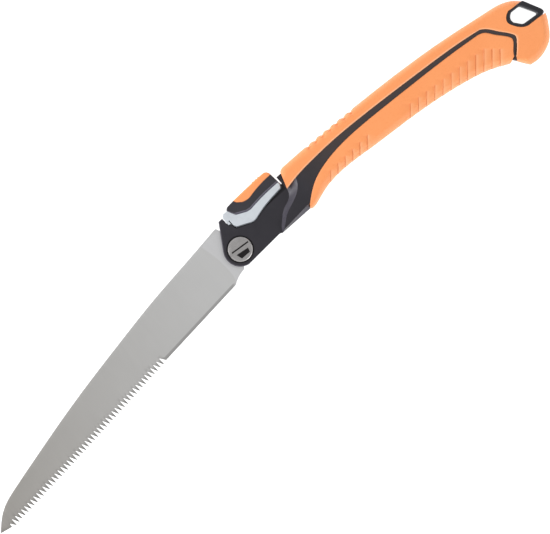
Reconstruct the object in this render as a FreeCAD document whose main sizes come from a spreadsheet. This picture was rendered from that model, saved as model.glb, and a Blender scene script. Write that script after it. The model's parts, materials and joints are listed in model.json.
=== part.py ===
import FreeCAD, Part
import math
import os

# Folding pruning saw, open, lying on its right side.
# The model is drawn about the blade pivot: +X towards the butt of the handle, +Y towards
# the spine and the latch, +Z towards the left side, with the blade centred on Z = 0.
# The last step moves every piece so that the origin is at the bottom centre of the box.

Vector = FreeCAD.Vector
doc = FreeCAD.newDocument("folding_pruning_saw")

SIZES = [
    ("blade_thick", 1.3),
    ("tooth_pitch", 3.0),
    ("tooth_depth", 4.7),
    ("slot_half", 1.05),
    ("head_half", 7.0),
    ("latch_wall_half", 4.7),
    ("shell_half", 9.0),
    ("stripe_half", 10.9),
    ("grip_half", 11.5),
    ("nose_radius", 11.7),
    ("tang_radius", 11.17),
    ("notch_depth", 2.0),
    ("pivot_radius", 4.0),
    ("bush_radius", 5.0),
    ("thread_radius", 3.0),
    ("bolt_head_radius", 8.6),
    ("recess_radius", 9.4),
    ("recess_floor", 5.0),
    ("bolt_top", 7.9),
    ("bolt_slot_width", 2.0),
    ("nut_radius", 7.6),
    ("nut_bottom", 8.6),
    ("lock_washer_thick", 0.5),
    ("blade_washer_radius", 9.0),
    ("running_gap", 0.05),
    ("pin_radius", 1.25),
    ("cheek_inner", 5.0),
    ("cheek_outer", 7.5),
    ("cover_half", 7.6),
    ("web_half", 0.9),
    ("spring_radius", 2.0),
    ("spring_wire_radius", 0.35),
    ("spring_pocket_radius", 2.7),
    ("stop_pin_radius", 1.75),
    ("screw_radius", 1.25),
    ("screw_head_radius", 3.0),
    ("screw_seat", 6.0),
    ("insert_radius", 2.2),
    ("insert_length", 6.0),
    ("eyelet_half", 11.1),
    ("grip_edge_radius", 2.5),
]

# Centres in the side view, measured from the blade pivot.
LATCH_PIN = (29.1, 13.3)
SPRING_X = 42.0
SPRING_SEAT = 10.0
SPRING_TOP = 18.4
STOP_PIN = (0.77, 16.95)
SCREWS = [(58.0, 14.5), (135.0, 7.5), (213.0, -5.0)]
HEAD_BEVEL = 0.6
LEVER_BEVEL = 0.8
COVER_BEVEL = 1.3
COVER_EDGE = 0.5
PAD_BEVEL = 1.0
PAD_RIBS = [36.6, 39.0, 41.4]
PAD_RIB_Y = 27.75
PAD_RIB_RADIUS = 0.75
PAD_RIB_INSET = 1.4
FOLD_ANGLE = 166.0
TOOTH_ANGLE = 60.0


def make_sheet():
    sheet = doc.addObject("Spreadsheet::Sheet", "Sizes")
    for row, (alias, value) in enumerate(SIZES, start=1):
        sheet.set("A%d" % row, alias)
        sheet.set("B%d" % row, str(value))
        sheet.setAlias("B%d" % row, alias)
    doc.recompute()
    return sheet


SHEET = make_sheet()


def size(alias):
    return float(SHEET.get(alias))


# ---- drawing helpers ----------------------------------------------------------------


def point(place):
    return Vector(place[0], place[1], 0)


def add_loop(drawing, loop):
    """Add a closed loop: a start, then points for lines, ("arc", mid, end) or ("curve", ...)."""
    here = loop[0]
    for step in loop[1:]:
        if step[0] == "arc":
            drawing.addGeometry(Part.Arc(point(here), point(step[1]), point(step[2])), False)
        elif step[0] == "curve":
            curve = Part.BSplineCurve()
            curve.interpolate([point(place) for place in (here,) + tuple(step[1:])])
            drawing.addGeometry(curve, False)
        else:
            drawing.addGeometry(Part.LineSegment(point(here), point(step)), False)
        here = step[-1] if step[0] in ("arc", "curve") else step
    if here != loop[0]:
        drawing.addGeometry(Part.LineSegment(point(here), point(loop[0])), False)


def outline(name, *loops):
    drawing = doc.addObject("Sketcher::SketchObject", name)
    for loop in loops:
        add_loop(drawing, loop)
    return drawing


def extrude(name, drawing, low, high):
    """Extrude a side view from Z = low to Z = high, both given as expressions."""
    block = doc.addObject("Part::Extrusion", name)
    block.Base = drawing
    block.DirMode = "Custom"
    block.Dir = Vector(0, 0, 1)
    block.Solid = True
    block.setExpression("LengthFwd", high)
    block.setExpression("LengthRev", "-(%s)" % low)
    return block


def cylinder(name, centre, radius, low, high):
    """A cylinder along Z from low to high, its sizes given as expressions."""
    rod = doc.addObject("Part::Cylinder", name)
    rod.setExpression("Radius", radius)
    rod.setExpression("Height", "(%s) - (%s)" % (high, low))
    rod.Placement.Base = point(centre)
    rod.setExpression("Placement.Base.z", low)
    return rod


def fuse(name, *pieces):
    whole = doc.addObject("Part::MultiFuse", name)
    whole.Shapes = list(pieces)
    whole.Refine = True
    return whole


def cut(name, base, *tools):
    """Take tools away from base, fused first when there are several."""
    tool = tools[0] if len(tools) == 1 else fuse(name + "_tools", *tools)
    remainder = doc.addObject("Part::Cut", name)
    remainder.Base = base
    remainder.Tool = tool
    remainder.Refine = True
    return remainder


def common(name, first, second):
    shared = doc.addObject("Part::MultiCommon", name)
    shared.Shapes = [first, second]
    return shared


def mirrored(name, source):
    """The same piece on the other side of the blade."""
    other = doc.addObject("Part::Mirroring", name)
    other.Source = source
    other.Base = Vector(0, 0, 0)
    other.Normal = Vector(0, 0, 1)
    return other


def edge_numbers(shape, wanted):
    return [n for n, edge in enumerate(shape.Edges, start=1) if wanted(edge)]


def at_height(height, inside=None):
    """Pick edges that lie flat at one height, with their middle inside a box (x0, x1, y0, y1)."""
    def wanted(edge):
        flat = all(abs(corner.Z - height) < 1e-4 for corner in edge.Vertexes)
        middle = edge.CenterOfMass
        if not flat or abs(middle.z - height) > 1e-4:
            return False
        if inside is None:
            return True
        low_x, high_x, low_y, high_y = inside
        return low_x < middle.x < high_x and low_y < middle.y < high_y
    return wanted


def on_both_faces(half, *boxes):
    """Pick edges on either face of a plate, with their middle inside one of the boxes."""
    return lambda edge: any(at_height(side * half, box)(edge)
                            for side in (1, -1) for box in boxes)


def softened(name, base, kind, across, down, wanted):
    """Fillet (kind "Fillet") or bevel (kind "Chamfer") the wanted edges of base."""
    doc.recompute()
    soft = doc.addObject("Part::" + kind, name)
    soft.Base = base
    soft.Edges = [(number, across, down) for number in edge_numbers(base.Shape, wanted)]
    return soft


def turned(name, profile):
    """Revolve a half section, given as (radius, height) corners, about the Z axis."""
    body = doc.addObject("PartDesign::Body", name)
    plane = next(f for f in body.Origin.OriginFeatures if f.Role == "XZ_Plane")
    drawing = body.newObject("Sketcher::SketchObject", name + "_section")
    drawing.AttachmentSupport = [(plane, "")]
    drawing.MapMode = "FlatFace"
    add_loop(drawing, profile)
    turning = body.newObject("PartDesign::Revolution", name + "_turning")
    turning.Profile = drawing
    turning.ReferenceAxis = (drawing, ["V_Axis"])
    turning.Angle = 360
    doc.recompute()
    return body


def ring(name, outer, inner, low, high, centre=(0, 0)):
    """A plain ring along Z, its sizes given as expressions."""
    disc = cylinder(name + "_disc", centre, outer, low, high)
    bore = cylinder(name + "_bore", centre, inner, "(%s) - 1" % low, "(%s) + 1" % high)
    return cut(name, disc, bore)


# ---- shared outlines ----------------------------------------------------------------

SPINE = ("curve", (79.2, 21.9), (120.0, 19.9), (162.5, 16.9), (203.0, 12.1), (230.0, 7.7),
         (243.0, 4.8), (250.3, 0.6), (253.6, -2.9))
BUTT_AND_BELLY = ("curve", (260.8, -18.0), (257.5, -26.0), (250.5, -34.8), (242.0, -38.9),
                  (233.6, -39.8), (229.0, -38.4), (226.0, -34.2), (220.5, -29.6),
                  (206.0, -22.9), (189.6, -18.3), (162.5, -13.5), (135.4, -10.5),
                  (108.3, -8.1), (84.6, -6.6), (70.0, -8.5), (61.0, -11.2), (56.2, -12.2))
HANDLE = [(50.8, 9.1), (54.5, 19.6), ("curve", (55.6, 21.4), (58.5, 22.3)), SPINE,
          (260.2, -15.6), BUTT_AND_BELLY, (53.6, -11.2)]

CORE = [(60.0, 10.0), (53.4, 11.4), (57.0, 18.8),
        ("curve", (79.2, 18.8), (120.0, 16.8), (162.5, 13.8), (203.0, 9.1), (230.0, 4.7),
         (242.0, 2.0), (249.0, -2.6)),
        (257.4, -17.2),
        ("curve", (255.0, -25.5), (248.5, -33.2), (241.0, -36.7), (234.0, -37.6),
         (230.8, -36.5), (227.5, -32.2), (221.2, -27.6), (206.0, -20.8), (189.6, -16.2),
         (162.5, -11.4), (135.4, -8.4), (108.3, -6.1), (84.6, -4.6), (70.0, -6.4),
         (61.0, -9.1), (56.0, -9.9))]

# The raised black stripe: the wing behind the head, then the band between the two grips.
# Its wall is upright except at the wing and the front of the belly, which slope inwards.
STRIPE_END = ("curve", (222.2, -0.3), (228.0, -7.5), (233.7, -15.0), (234.7, -17.8),
              (233.4, -20.4), (226.1, -28.1))
STRIPE_BELLY = [(224.3, -30.5), (221.0, -30.5), (225.1, -27.1),
                ("curve", (227.1, -24.1), (230.8, -20.1), (231.9, -17.6), (230.3, -14.0),
                 (224.7, -7.2), (220.2, -1.7), (216.4, -0.2)),
                ("curve", (203.0, 1.4), (189.6, 2.7), (162.5, 4.7), (135.4, 6.4), (111.7, 7.4),
                 (94.8, 6.8), (81.2, 4.7), (67.7, 0.0), (60.9, -4.4), (55.5, -8.8))]
STRIPE_FOOT = [(29.0, -11.0),
               ("curve", (30.5, -8.1), (33.8, -4.7), (40.6, 0.7), (46.4, 3.0), (50.8, 9.1)),
               ("curve", (60.9, 10.9), (77.9, 12.2), (91.4, 12.6), (121.9, 11.5),
                (149.0, 9.5), (176.0, 7.1), (203.1, 4.2), (219.3, 1.6)),
               STRIPE_END] + STRIPE_BELLY + [(53.6, -11.2)]
STRIPE_TOP = [(31.6, -10.0),
              ("curve", (34.2, -7.7), (37.6, -4.8), (41.9, -2.4), (47.6, -0.3), (54.2, 2.9),
               (60.3, 10.8)),
              ("curve", (68.0, 11.7), (77.9, 12.2), (91.4, 12.6), (121.9, 11.5),
               (149.0, 9.5), (176.0, 7.1), (203.1, 4.2), (219.3, 1.6)),
              STRIPE_END] + STRIPE_BELLY + [(54.3, -8.2)]

HEAD = [(-9.81, 6.37), ("arc", (-8.27, -8.27), (-2.6, -11.41)), (27.1, -10.0), (29.0, -11.0),
        (53.6, -11.2), (57.5, -6.0), (57.5, 16.0), (54.5, 19.8), (50.8, 19.8), (50.6, 9.8),
        (39.3, 9.9), (30.5, 9.5), (23.7, 7.8), (19.0, 7.3), (16.2, 8.5), (7.6, 12.1),
        (6.9, 13.6), (6.9, 16.5), (4.8, 16.5), (4.8, 23.7), (1.44, 23.7)]

LATCH_WALL = [(5.0, 12.0), (7.3, 16.5), (7.5, 18.9), (13.0, 18.9), (18.0, 16.9), (32.0, 16.5),
              (50.8, 14.2), (52.0, 14.0), (52.0, 5.0), (10.0, 5.0)]

# The blade space: open through the head, then the shallow slot that the folded blade fills.
SLOT = [(-20.0, -50.0), (-20.0, 40.0), (33.5, 40.0), (33.5, 10.4), (90.0, 2.0),
        ("curve", (104.3, 0.2), (138.0, -4.9), (171.7, -9.8), (205.3, -15.1), (239.2, -20.4)),
        ("curve", (248.0, -23.4), (252.5, -27.5)),
        (252.5, -50.0)]

EYELET_TOP = [(242.4, -1.8), ("curve", (247.0, -2.4), (251.5, -2.6), (253.6, -2.9))]
EYELET_BOTTOM = [(258.0, -19.2), (245.6, -18.2),
                 ("curve", (243.0, -16.9), (237.8, -10.6), (236.8, -7.6), (238.2, -4.4),
                  (242.4, -1.8))]
EYELET = EYELET_TOP + [("arc", (254.3, -3.3), (254.7, -4.0)), (260.2, -15.7),
                       ("arc", (260.1, -18.2), (258.0, -19.2))]
EYELET += EYELET_BOTTOM[1:]
EYELET_SPACE = EYELET_TOP + [(265.0, -2.9), (265.0, -19.8), (259.0, -19.4)] + EYELET_BOTTOM
EYELET_HOLE = [(243.4, -3.9), (249.1, -4.3),
               ("curve", (250.3, -4.7), (251.0, -5.6)), (255.7, -14.5),
               ("curve", (255.9, -15.7), (255.1, -16.4)), (245.1, -15.3),
               ("curve", (243.9, -14.9), (243.1, -14.2)), (239.9, -10.1),
               ("curve", (239.7, -8.0), (240.9, -5.6), (243.4, -3.9))]

# What belongs to the spine grips, which also wrap the butt.
SPINE_ZONE = [(45.0, 0.0), (62.0, 3.5), (75.0, 7.5), (95.0, 9.8), (120.0, 9.3), (150.0, 7.5),
              (190.0, 4.3), (218.0, 1.0), (221.4, -0.8), (226.6, -7.2), (232.2, -14.3),
              (233.5, -17.7), (232.4, -20.4), (225.6, -27.6), (222.8, -30.4), (222.8, -50.0),
              (270.0, -50.0), (270.0, 40.0), (45.0, 40.0)]

# Shallow four-sided pocket below the slot of the pivot bolt.
BOLT_POCKET = [(-4.5, -1.2), (4.7, -2.6), (3.8, -5.6), (-3.3, -5.4)]

# Small step in the belly edge, where the belly grip ends and the butt hook begins.
STEP = [(220.0, -28.6), (223.3, -28.8), (224.4, -31.2), (226.2, -34.4), (226.2, -40.0),
        (220.0, -40.0)]


# ---- handle shells and grips --------------------------------------------------------


def handle_openings():
    """What is taken out of shells and grips alike: blade space, eyelet and belly step."""
    space = extrude("blade_space", outline("blade_space_view", SLOT), "-Sizes.slot_half",
                    "Sizes.slot_half")
    butt = extrude("eyelet_space", outline("eyelet_space_view", EYELET_SPACE), "-20", "20")
    step = extrude("belly_step", outline("belly_step_view", STEP), "-20", "20")
    return [space, butt, step]


def shell_blank():
    """The left shell before its holes: head, latch wall, raised stripe and grip core."""
    plate = extrude("head_plate", outline("head_view", HEAD), "0", "Sizes.head_half")
    head = softened("head_soft", plate, "Chamfer", HEAD_BEVEL, HEAD_BEVEL,
                    at_height(size("head_half"), (-20.0, 4.0, -20.0, 30.0)))
    wall = extrude("latch_wall", outline("latch_wall_view", LATCH_WALL), "0",
                   "Sizes.latch_wall_half")
    core = extrude("grip_core", outline("core_view", CORE), "0", "Sizes.shell_half")
    foot_view = outline("stripe_foot_view", STRIPE_FOOT)
    foot = extrude("stripe_foot", foot_view, "0", "Sizes.head_half")
    lower_view = outline("stripe_lower_view", STRIPE_FOOT)
    lower_view.setExpression("Placement.Base.z", "Sizes.head_half")
    upper_view = outline("stripe_upper_view", STRIPE_TOP)
    upper_view.setExpression("Placement.Base.z", "Sizes.stripe_half")
    slope = doc.addObject("Part::Loft", "stripe_slope")
    slope.Sections = [lower_view, upper_view]
    slope.Solid = True
    slope.Ruled = True
    return fuse("shell_blank", head, wall, core, foot, slope)


def pivot_bores(side):
    """Recess for the bolt head or nut and the hole for the bolt, on the left (1) or right (-1)."""
    return [
        cylinder("recess_%+d" % side, (0, 0), "Sizes.recess_radius",
                 "Sizes.recess_floor" if side > 0 else "-20",
                 "20" if side > 0 else "-Sizes.recess_floor"),
        cylinder("pivot_hole_%+d" % side, (0, 0), "Sizes.pivot_radius + Sizes.running_gap",
                 "0" if side > 0 else "-20", "20" if side > 0 else "0"),
    ]


def small_bores(side):
    """Holes for the latch pin, stop pin, spring, screws and inserts of one shell."""
    tag = "%+d" % side
    bores = [
        cylinder("latch_pin_hole" + tag, LATCH_PIN, "Sizes.pin_radius + 0.01", "-10", "10"),
        cylinder("stop_pin_hole" + tag, STOP_PIN, "Sizes.stop_pin_radius + 0.01",
                 "-4.6", "4.6"),
    ]
    pocket = cylinder("spring_pocket" + tag, (SPRING_X, 0), "Sizes.spring_pocket_radius", "0",
                      "20")
    pocket.Placement = FreeCAD.Placement(Vector(SPRING_X, SPRING_SEAT, 0),
                                         FreeCAD.Rotation(Vector(1, 0, 0), -90))
    bores.append(pocket)
    for number, place in enumerate(SCREWS, start=1):
        name = "screw_hole_%d%s" % (number, tag)
        if side > 0:
            bores.append(cylinder(name, place, "Sizes.insert_radius + 0.01", "-1",
                                  "Sizes.insert_length + 1.2"))
        else:
            bores.append(cylinder(name, place, "Sizes.screw_radius + 0.15", "-20", "1"))
            bores.append(cylinder(name + "_head", place, "Sizes.screw_head_radius + 0.2", "-20",
                                  "-Sizes.screw_seat"))
    return bores


def make_shells(blank, openings):
    other = mirrored("shell_blank_right", blank)
    left = cut("left_shell", blank, *(openings + pivot_bores(1) + small_bores(1)))
    right = cut("right_shell", other, *(openings + pivot_bores(-1) + small_bores(-1)))
    return [left, right]


def make_grips(blank, openings):
    """Four soft grips: the handle outline outside the shells, split along the stripe."""
    block = extrude("handle_block", outline("handle_view", HANDLE), "0", "Sizes.grip_half")
    edge = size("grip_edge_radius")
    smooth = softened("handle_smooth", block, "Fillet", edge, edge,
                      at_height(size("grip_half")))
    band = extrude("stripe_band", outline("stripe_band_view", STRIPE_FOOT), "-1", "20")
    hull = cut("grip_hull", smooth, blank, band, *openings)
    zone = extrude("spine_zone", outline("spine_zone_view", SPINE_ZONE), "-1", "20")
    spine = common("spine_grip_left", hull, zone)
    belly = cut("belly_grip_left", hull, zone)
    spine_mirror = mirrored("spine_grip_mirror", spine)
    belly_mirror = mirrored("belly_grip_right", belly)
    bores = [cylinder("grip_bore_%d" % number, place, "Sizes.screw_head_radius + 0.2", "-20", "0")
             for number, place in enumerate(SCREWS, start=1)]
    spine_right = cut("spine_grip_right", spine_mirror, *bores)
    return [spine, spine_right, belly, belly_mirror]


# ---- pivot, pins and fasteners ------------------------------------------------------


def make_pivot_bolt():
    """Slotted bolt with a low domed head, a plain shank and a thinner threaded end."""
    rim = size("bolt_head_radius")
    floor = size("recess_floor")
    top = size("bolt_top")
    shank = size("pivot_radius")
    thread = size("thread_radius")
    tail = size("nut_bottom") - 0.4
    section = [(0, -tail), (thread - 0.5, -tail), (thread, 0.5 - tail), (thread, -floor),
               (shank, -floor), (shank, floor), (rim - 0.3, floor), (rim, floor + 0.3),
               (rim, top - 1.0), ("arc", (rim * 0.75, top - 0.25), (0, top))]
    blank = turned("pivot_bolt_blank", section)
    slot = doc.addObject("Part::Box", "bolt_slot")
    slot.Length = 2 * rim + 2
    slot.setExpression("Width", "Sizes.bolt_slot_width")
    slot.Height = 3
    turn = FreeCAD.Rotation(Vector(0, 0, 1), -6)
    corner = turn.multVec(Vector(-rim - 1, -size("bolt_slot_width") / 2, 0))
    slot.Placement = FreeCAD.Placement(corner + Vector(0, 0.3, top - 1.2), turn)
    pocket = extrude("bolt_pocket", outline("bolt_pocket_view", BOLT_POCKET),
                     "Sizes.bolt_top - 0.7", "Sizes.bolt_top + 2")
    return cut("pivot_bolt", blank, slot, pocket)


def make_pivot_nut():
    outer = size("nut_radius")
    low = size("nut_bottom")
    seat = size("recess_floor") + size("lock_washer_thick")
    bore = size("thread_radius") + 0.02
    section = [(bore, -seat), (outer, -seat), (outer, 1.2 - low), (outer - 1.2, -low),
               (bore + 0.5, -low), (bore, 0.5 - low)]
    blank = turned("pivot_nut_blank", section)
    flats = []
    for side in (1, -1):
        flat = doc.addObject("Part::Box", "nut_flat_%+d" % side)
        flat.Length = 20
        flat.Width = 4
        flat.Height = 10
        flat.Placement.Base = Vector(-10, side * (outer - 1.1) - (4 if side < 0 else 0), -low - 1)
        flats.append(flat)
    return cut("pivot_nut", blank, *flats)


def make_washers():
    seat = "Sizes.recess_floor"
    lock = ring("lock_washer", "Sizes.nut_radius", "Sizes.thread_radius + 0.1",
                "-%s - Sizes.lock_washer_thick" % seat, "-%s" % seat)
    left = ring("blade_washer_left", "Sizes.blade_washer_radius", "Sizes.pivot_radius + 0.1",
                "Sizes.blade_thick / 2 + 0.02", "Sizes.slot_half")
    right = ring("blade_washer_right", "Sizes.blade_washer_radius", "Sizes.pivot_radius + 0.1",
                 "-Sizes.slot_half", "-Sizes.blade_thick / 2 - 0.02")
    return [lock, left, right]


def make_pins():
    latch = cylinder("latch_pin", LATCH_PIN, "Sizes.pin_radius", "-7.3", "6.4")
    stop = cylinder("blade_stop_pin", STOP_PIN, "Sizes.stop_pin_radius", "-4.5", "4.5")
    return [latch, stop]


def make_screws():
    """Three countersunk screws from the right side and their brass inserts in the left shell."""
    shank = size("screw_radius")
    head = size("screw_head_radius")
    seat = size("screw_seat")
    section = [(0, 6.0), (shank - 0.4, 6.0), (shank, 5.6), (shank, -seat), (head, -seat),
               (head, -seat - 1.6), (head - 0.5, -seat - 2.1), (1.1, -seat - 2.1),
               (1.1, -seat - 0.8), (0, -seat - 0.8)]
    screws = []
    inserts = []
    for number, place in enumerate(SCREWS, start=1):
        screw = turned("screw_%d" % number, section)
        screw.Placement.Base = point(place)
        screws.append(screw)
        inserts.append(ring("insert_%d" % number, "Sizes.insert_radius",
                            "Sizes.screw_radius + 0.02", "0.9", "Sizes.insert_length + 0.9",
                            place))
    group = doc.addObject("Part::Compound", "shell_screws")
    group.Links = screws
    brass = doc.addObject("Part::Compound", "screw_inserts")
    brass.Links = inserts
    return [group, brass]


def make_eyelet():
    """Black ring that lines the hanging hole through both shells."""
    drawing = outline("eyelet_view", EYELET, EYELET_HOLE)
    return extrude("hanging_eyelet", drawing, "-Sizes.eyelet_half", "Sizes.eyelet_half")


def make_latch_spring():
    """Compression coil under the rear of the latch, closed by a flat first and last turn."""
    wire = size("spring_wire_radius")
    radius = size("spring_radius")
    length = SPRING_TOP - SPRING_SEAT - 2 * wire
    helix = Part.makeHelix(length / 5.0, length, radius)
    start = helix.Edges[0].valueAt(helix.Edges[0].FirstParameter)
    circle = Part.Wire([Part.makeCircle(wire, start, Vector(0, 1, 0))])
    coil = Part.Wire(helix.Edges).makePipeShell([circle], True, True)
    spring = doc.addObject("Part::Feature", "latch_spring")
    spring.Shape = coil
    spring.Placement = FreeCAD.Placement(Vector(SPRING_X, SPRING_SEAT + wire + 0.01, 0),
                                         FreeCAD.Rotation(Vector(1, 0, 0), -90))
    return spring


# ---- blade --------------------------------------------------------------------------


def polar(radius, angle):
    turn = math.radians(angle)
    return (radius * math.cos(turn), radius * math.sin(turn))


TOOTH_LINE = [(-237.5, -36.9), (-203.1, -33.8), (-169.3, -30.8), (-135.4, -27.4),
              (-101.6, -24.0), (-90.5, -22.9)]


def tooth_points():
    """Slender teeth that lean towards the handle, from the toe to the end of the tooth line."""
    line = Part.BSplineCurve()
    line.interpolate([point(place) for place in TOOTH_LINE])
    count = int(line.length() / size("tooth_pitch"))
    pitch = line.length() / count
    corners = []
    for number in range(count + 1):
        here = line.parameterAtDistance(number * pitch)
        tip = line.value(here)
        along = Vector(*line.tangent(here)[0])
        inward = Vector(-along.y, along.x, 0)
        gullet = tip + inward * size("tooth_depth") + along * 0.55
        corners.append((tip.x - 0.25, tip.y))
        corners.append((tip.x + 0.25, tip.y))
        corners.append((gullet.x, gullet.y))
        corners.append((gullet.x + 0.3, gullet.y))
    return corners


def notch(centre_angle, tang, depth):
    """Corners of one latch notch in the round tang, in clockwise order."""
    half_width = 13.0
    return [polar(tang, centre_angle + half_width),
            polar(tang - depth, centre_angle + half_width - 1),
            polar(tang - depth, centre_angle - half_width + 1),
            polar(tang, centre_angle - half_width)]


def make_blade():
    tang = size("tang_radius")
    depth = size("notch_depth")
    open_notch = notch(TOOTH_ANGLE, tang, depth)
    folded_notch = notch(TOOTH_ANGLE - FOLD_ANGLE, tang, depth)
    view = [(-249.3, -34.0),
            ("curve", (-243.7, -28.4), (-237.0, -23.4), (-223.4, -18.3), (-203.1, -13.2),
             (-169.3, -5.1), (-135.4, 2.0), (-101.6, 8.1), (-67.7, 13.7), (-33.9, 17.9),
             (-5.4, 21.5)),
            ("arc", (-3.6, 21.5), (-3.05, 21.3)), polar(tang, 84.0), open_notch[0],
            open_notch[1], open_notch[2], open_notch[3],
            ("arc", polar(tang, -20.0), folded_notch[0]), folded_notch[1], folded_notch[2],
            folded_notch[3],
            (-6.9, -11.75), ("curve", (-10.2, -12.3), (-14.9, -13.9), (-18.3, -15.9)),
            (-87.5, -22.0)]
    view += list(reversed(tooth_points()))
    view += [(-240.3, -33.2), (-240.6, -35.9)]
    drawing = outline("blade_view", view)
    plate = extrude("blade_plate", drawing, "-Sizes.blade_thick / 2", "Sizes.blade_thick / 2")
    bore = cylinder("blade_bore", (0, 0), "Sizes.bush_radius", "-5", "5")
    blade = cut("blade", plate, bore)
    bush = ring("pivot_bush", "Sizes.bush_radius", "Sizes.pivot_radius + Sizes.running_gap",
                "-Sizes.blade_thick / 2", "Sizes.blade_thick / 2")
    return [blade, bush]


# ---- latch --------------------------------------------------------------------------

CHEEK = [(7.5, 13.9), (8.2, 12.6), (16.2, 8.9), ("curve", (19.0, 7.8), (23.7, 8.2)),
         ("curve", (30.5, 9.9), (39.3, 11.2), (48.3, 12.0)), (50.0, 14.6), (49.7, 16.5),
         ("curve", (35.0, 16.4), (23.7, 15.3)), (20.3, 15.9), (13.5, 19.3), (12.2, 21.7),
         (10.5, 25.5), (6.8, 25.4), (5.2, 23.7), (5.1, 17.4), (6.9, 17.0), (7.0, 20.9),
         (7.5, 20.9)]
BRIDGE = [(5.2, 23.7), (5.1, 19.6), (13.3, 19.6), (12.2, 21.7), (10.5, 25.5), (6.8, 25.4)]
WEB = [(4.0, 10.62), ("arc", polar(11.34, 60.0), (7.0, 8.92)), (7.0, 12.3), (20.0, 12.2),
       (26.7, 11.6), ("arc", (29.1, 10.8), (31.6, 13.3)), ("arc", (30.8, 15.1), (29.1, 15.8)),
       (18.0, 16.8), (13.0, 19.8), (5.2, 19.8), (4.0, 16.9)]
COVER = [(10.5, 25.5), ("curve", (11.3, 26.5), (12.6, 27.2)), (18.2, 27.6), (19.3, 25.4),
         (22.3, 23.0), ("curve", (26.4, 21.9), (30.5, 22.3)),
         ("curve", (37.2, 23.4), (44.0, 23.9), (49.2, 23.9)), (49.7, 16.5),
         ("curve", (35.0, 16.4), (23.7, 15.3)), (20.3, 15.9), (13.5, 19.3), (12.2, 21.7)]
COVER_HOLLOW = [(12.0, 10.0), (12.0, 20.2), (14.5, 20.2), (18.0, 18.5), (60.0, 18.5),
                (60.0, 10.0)]
PAD = [(18.2, 27.6), ("curve", (33.9, 28.0), (44.7, 28.0)), ("arc", (48.2, 26.7), (49.2, 23.9)),
       ("curve", (44.0, 23.9), (37.2, 23.4), (30.5, 22.3)),
       ("curve", (26.4, 21.9), (22.3, 23.0)), (19.3, 25.4)]

# Where the edges to bevel lie in the side view (x0, x1, y0, y1).
LEVER_LOWER = (7.0, 51.0, 7.0, 15.58)
COVER_LOWER = (13.0, 50.0, 15.0, 19.0)
COVER_FRONT = (9.0, 18.0, 20.8, 28.0)
COVER_REAR = (49.0, 50.0, 17.0, 24.0)
PAD_TOP = (18.0, 46.0, 27.3, 29.0)
PAD_REAR = (46.0, 50.0, 24.5, 28.0)


def make_latch():
    """Rocking lever: two cheeks, a bridge and a centre web with the tooth, under a cap and pad."""
    cheek_view = outline("cheek_view", CHEEK)
    outer = size("cheek_outer")
    left = softened("cheek_left", extrude("cheek_plate", cheek_view, "Sizes.cheek_inner",
                                          "Sizes.cheek_outer"),
                    "Chamfer", LEVER_BEVEL, LEVER_BEVEL, at_height(outer, LEVER_LOWER))
    right = mirrored("cheek_right", left)
    bridge = extrude("latch_bridge", outline("bridge_view", BRIDGE), "-Sizes.cheek_outer",
                     "Sizes.cheek_outer")
    web = extrude("latch_web", outline("web_view", WEB), "-Sizes.web_half", "Sizes.web_half")
    body = fuse("latch_body", left, right, bridge, web)
    pin_hole = cylinder("lever_pin_hole", LATCH_PIN, "Sizes.pin_radius + Sizes.running_gap",
                        "-10", "6.5")
    lever = cut("latch_lever", body, pin_hole)

    half = size("cover_half")
    block = extrude("cover_block", outline("cover_view", COVER), "-Sizes.cover_half",
                    "Sizes.cover_half")
    wedge = softened("cover_bevelled", block, "Chamfer", COVER_BEVEL, COVER_BEVEL,
                     on_both_faces(half, COVER_LOWER))
    cap = softened("cover_soft", wedge, "Chamfer", COVER_EDGE, COVER_EDGE,
                   on_both_faces(half, COVER_FRONT, COVER_REAR))
    hollow = extrude("cover_hollow", outline("cover_hollow_view", COVER_HOLLOW),
                     "-Sizes.cheek_inner", "Sizes.cheek_inner")
    cover = cut("latch_cover", cap, hollow)
    cushion = extrude("pad_block", outline("pad_view", PAD), "-Sizes.cover_half",
                      "Sizes.cover_half")
    cushion_soft = softened("pad_soft", cushion, "Chamfer", PAD_BEVEL, PAD_BEVEL,
                            on_both_faces(half, PAD_TOP, PAD_REAR))
    rib_top = "Sizes.cover_half - %s" % PAD_RIB_INSET
    ribs = [cylinder("pad_rib_%d" % number, (x, PAD_RIB_Y), str(PAD_RIB_RADIUS),
                     "-(%s)" % rib_top, rib_top)
            for number, x in enumerate(PAD_RIBS, start=1)]
    pad = fuse("latch_pad", cushion_soft, *ribs)
    return [lever, cover, pad]


# ---- assembly -----------------------------------------------------------------------


def check_document():
    for item in doc.Objects:
        state = [word for word in item.State if word in ("Invalid", "Error")]
        if state:
            raise RuntimeError("%s is %s" % (item.Name, state))


def move_to_origin(pieces):
    """Put the origin at the middle of the box's bottom face."""
    whole = Part.makeCompound([piece.Shape for piece in pieces])
    box = whole.optimalBoundingBox(False, False)
    shift = Vector(-(box.XMin + box.XMax) / 2, -(box.YMin + box.YMax) / 2, -box.ZMin)
    for piece in pieces:
        piece.Placement = FreeCAD.Placement(shift, FreeCAD.Rotation()) * piece.Placement
    return shift


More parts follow.
